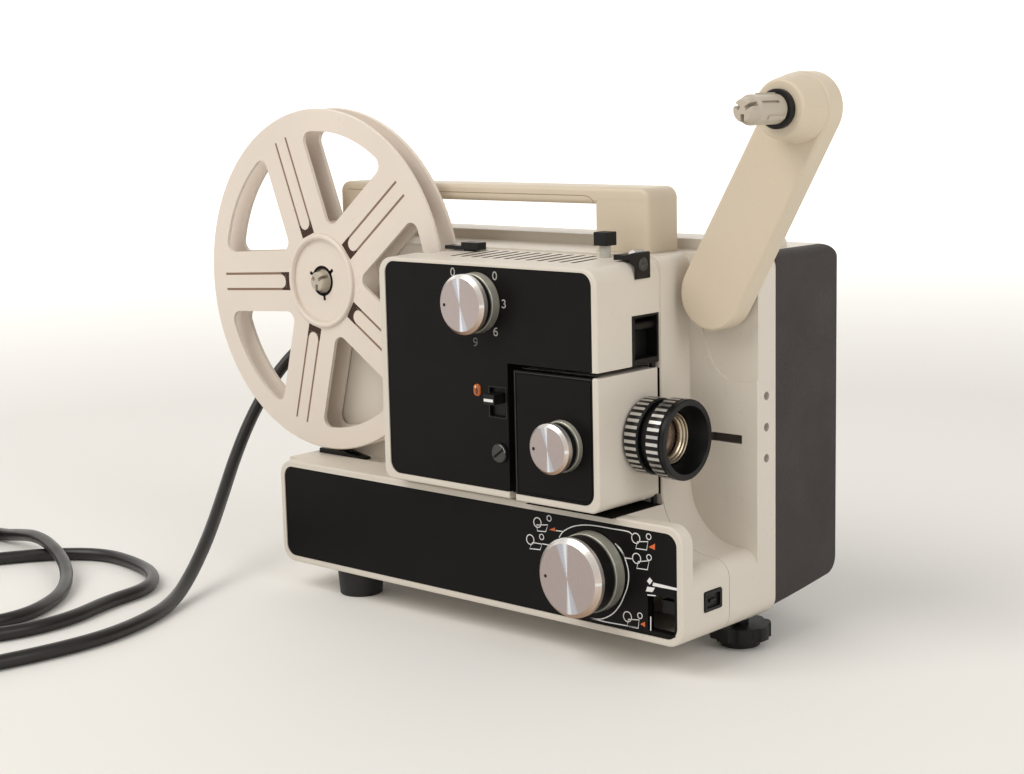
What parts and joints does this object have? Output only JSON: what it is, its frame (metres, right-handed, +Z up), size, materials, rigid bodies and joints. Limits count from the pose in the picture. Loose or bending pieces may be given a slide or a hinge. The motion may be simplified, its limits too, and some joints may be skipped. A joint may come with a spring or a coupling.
{
  "type": "movie projector",
  "caption": "Cine film projector with a low base, a head with knobs and zoom lens, a folding supply arm, a large take-up reel, a sliding carry handle and a mains lead.",
  "frame": {"origin": "middle of the footprint on the table, with the mains lead left out", "axes": "+X along the body to the lens end, +Y from the knobs to the rear, +Z up"},
  "size_m": [0.6075, 0.3968, 0.2627],
  "materials": {
    "ivory": "fine matt moulding",
    "reel_white": "smooth warm white",
    "panel_black": "smooth black",
    "cover_brown": "dark grained",
    "black_plastic": "satin black",
    "grey_plastic": "satin grey",
    "aluminium": "turned face",
    "steel": "ground",
    "bright_steel": "polished",
    "amber": "clear amber",
    "spindle_grey": "pale grey",
    "lens_black": "black anodised",
    "glass": "coated",
    "reflector": "mirror coated",
    "ceramic": "unglazed ceramic",
    "rubber": "matt",
    "belt_rubber": "matt",
    "cord_black": "smooth flexible",
    "core_steel": "laminated core"
  },
  "bodies": {
    "body": {"base_shell": "ivory", "base_front_panel": "panel_black", "main_body": "ivory", "rear_cover": "cover_brown", "rear_cover_screws": "steel", "top_deck": "ivory", "head_shell": "ivory", "head_front_panel": "panel_black", "side_window": "black_plastic", "pilot_light": "amber", "film_inlet_guide": "black_plastic", "film_exit_guide": "black_plastic", "speed_control": "black_plastic", "selector_switch": "black_plastic", "door_hinge_pins": "steel", "film_gate": "bright_steel", "lamp": "reflector", "lamp_holder": "ceramic", "drive_brackets": "steel", "motor": "steel", "drive_belt": "belt_rubber", "transformer": "core_steel", "arm_pivot_tube": "steel", "fixed_feet": "rubber", "strain_relief": "rubber", "mains_cord": "cord_black", "cord_coil": "cord_black", "mains_plug": "rubber"},
    "film_switch": {"film_type_switch": "black_plastic"},
    "lock": {"lock_screw": "steel"},
    "loop_lever": {"loop_lever": "black_plastic"},
    "framing": {"framing_knob": "black_plastic"},
    "inlet_roller": {"film_inlet_roller": "bright_steel"},
    "speed_dial": {"speed_knob": "black_plastic", "speed_knob_cap": "aluminium"},
    "selector": {"selector_knob": "black_plastic", "selector_knob_cap": "aluminium"},
    "focus_dial": {"focus_knob": "black_plastic", "focus_knob_cap": "aluminium"},
    "lens_door": {"lens_door": "ivory", "lens_door_panel": "panel_black", "pressure_plate": "bright_steel"},
    "lens": {"lens_barrel": "lens_black", "lens_glass": "glass"},
    "zoom": {"zoom_ring": "lens_black"},
    "shutter": {"shutter_shaft": "steel"},
    "motor_rotor": {"cooling_fan": "grey_plastic"},
    "reel": {"reel_front_flange": "reel_white", "reel_hub": "reel_white", "takeup_spindle": "spindle_grey"},
    "arm": {"supply_arm": "ivory", "arm_back_plate": "ivory", "arm_belt": "belt_rubber"},
    "arm_drive": {"arm_drive": "grey_plastic"},
    "supply_spindle": {"supply_spindle": "spindle_grey", "spindle_ring": "black_plastic"},
    "handle": {"carrying_handle": "ivory"},
    "trimmer": {"trimmer_button": "black_plastic"},
    "foot_pad": {"foot_pad": "rubber"},
    "foot_wheel": {"foot_wheel": "black_plastic"}
  },
  "joints": [
    {"name": "film_switch_slide", "type": "slide", "parent": "body", "child": "film_switch", "axis": [0, 0, -1], "range_m": [0, 0.0059]},
    {"name": "lock_turn", "type": "hinge", "parent": "body", "child": "lock", "pos_m": [0.04922, -0.0604, 0.0923], "axis": [0, -1, 0], "range_deg": [0, 90]},
    {"name": "loop_lever_slide", "type": "slide", "parent": "body", "child": "loop_lever", "axis": [1, 0, 0], "range_m": [0, 0.005]},
    {"name": "framing_turn", "type": "hinge", "parent": "body", "child": "framing", "pos_m": [0.08242, -0.0223, 0.1866], "axis": [0, 0, 1], "range_deg": [-60, 60]},
    {"name": "inlet_roller_spin", "type": "hinge", "parent": "body", "child": "inlet_roller", "pos_m": [0.10582, -0.0337, 0.1839], "axis": [0, 1, 0], "continuous": true},
    {"name": "speed_turn", "type": "hinge", "parent": "body", "child": "speed_dial", "pos_m": [0.03692, -0.0604, 0.1613], "axis": [0, -1, 0], "range_deg": [-135, 135]},
    {"name": "selector_turn", "type": "hinge", "parent": "body", "child": "selector", "pos_m": [0.09531, -0.0503, 0.0416], "axis": [0, -1, 0], "range_deg": [-150, 150]},
    {"name": "lens_door_swing", "type": "hinge", "parent": "body", "child": "lens_door", "pos_m": [0.10601, -0.0185, 0.1023], "axis": [0, 0, 1], "range_deg": [0, 26]},
    {"name": "focus_turn", "type": "hinge", "parent": "lens_door", "child": "focus_dial", "pos_m": [0.08722, -0.0604, 0.0998], "axis": [0, 1, 0], "range_deg": [0, 50.23]},
    {"name": "lens_focus_slide", "type": "slide", "parent": "lens_door", "child": "lens", "axis": [1, 0, 0], "range_m": [0, 0.0035]},
    {"name": "zoom_turn", "type": "hinge", "parent": "lens", "child": "zoom", "pos_m": [0.12201, -0.0269, 0.1023], "axis": [1, 0, 0], "range_deg": [-60, 60]},
    {"name": "shutter_spin", "type": "hinge", "parent": "body", "child": "shutter", "pos_m": [0.04761, 0.0037, 0.122], "axis": [1, 0, 0], "continuous": true},
    {"name": "motor_spin", "type": "hinge", "parent": "body", "child": "motor_rotor", "pos_m": [-0.01878, 0.0407, 0.062], "axis": [1, 0, 0], "continuous": true},
    {"name": "reel_spin", "type": "hinge", "parent": "body", "child": "reel", "pos_m": [-0.10249, -0.03, 0.1613], "axis": [0, 1, 0], "continuous": true},
    {"name": "arm_fold", "type": "hinge", "parent": "body", "child": "arm", "pos_m": [0.12912, -0.0063, 0.165], "axis": [0, 1, 0], "range_deg": [0, 124]},
    {"name": "arm_drive_spin", "type": "hinge", "parent": "body", "child": "arm_drive", "pos_m": [0.12912, -0.0063, 0.165], "axis": [0, 1, 0], "continuous": true},
    {"name": "supply_spin", "type": "hinge", "parent": "arm", "child": "supply_spindle", "pos_m": [0.17599, -0.0063, 0.24717], "axis": [0, 1, 0], "continuous": true},
    {"name": "handle_slide", "type": "slide", "parent": "body", "child": "handle", "axis": [0, 0, -1], "range_m": [0, 0.0185]},
    {"name": "trimmer_press", "type": "slide", "parent": "body", "child": "trimmer", "axis": [-1, 0, 0], "range_m": [0, 0.004], "stiffness_N_per_m": 300, "springref_m": -0.001},
    {"name": "foot_raise", "type": "slide", "parent": "body", "child": "foot_pad", "axis": [0, 0, 1], "range_m": [-0.008, 0.003]},
    {"name": "foot_turn", "type": "hinge", "parent": "foot_pad", "child": "foot_wheel", "pos_m": [0.13331, 0.0107, 0.005], "axis": [0, 0, 1], "range_deg": [-1921, 721]}
  ],
  "couplings": [
    {"joint": "focus_turn", "follows": "lens_focus_slide", "rad_per_m": 250},
    {"joint": "shutter_spin", "follows": "motor_spin", "ratio": 0.5},
    {"joint": "supply_spin", "follows": "arm_drive_spin", "ratio": 1},
    {"joint": "foot_turn", "follows": "foot_raise", "rad_per_m": 4188.8}
  ]
}
